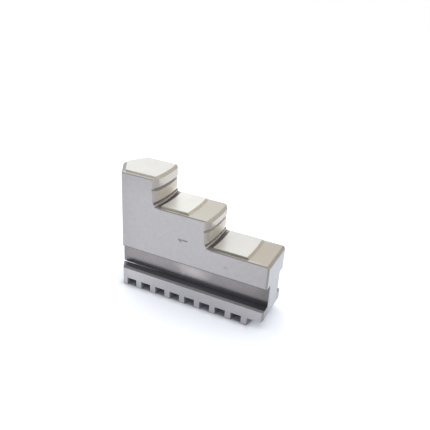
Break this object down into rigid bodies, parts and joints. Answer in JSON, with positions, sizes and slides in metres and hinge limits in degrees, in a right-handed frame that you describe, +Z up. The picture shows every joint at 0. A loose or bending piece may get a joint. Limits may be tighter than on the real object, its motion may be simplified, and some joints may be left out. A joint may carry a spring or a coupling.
{
  "type": "lathe chuck inside jaw",
  "caption": "Stepped lathe chuck jaw with a V nose, ground seats, curved gripping risers, side guide grooves and scroll teeth underneath.",
  "frame": {"origin": "centre of the jaw's footprint, at the level of the tooth crests", "axes": "+X outwards along the chuck radius, from the V nose to the lowest step; +Y across the width; +Z up, away from the scroll"},
  "size_m": [0.0796, 0.022, 0.061],
  "materials": {
    "ground_steel": "hardened and ground"
  },
  "bodies": {
    "root": {"inside_jaw": "ground_steel"}
  },
  "joints": []
}
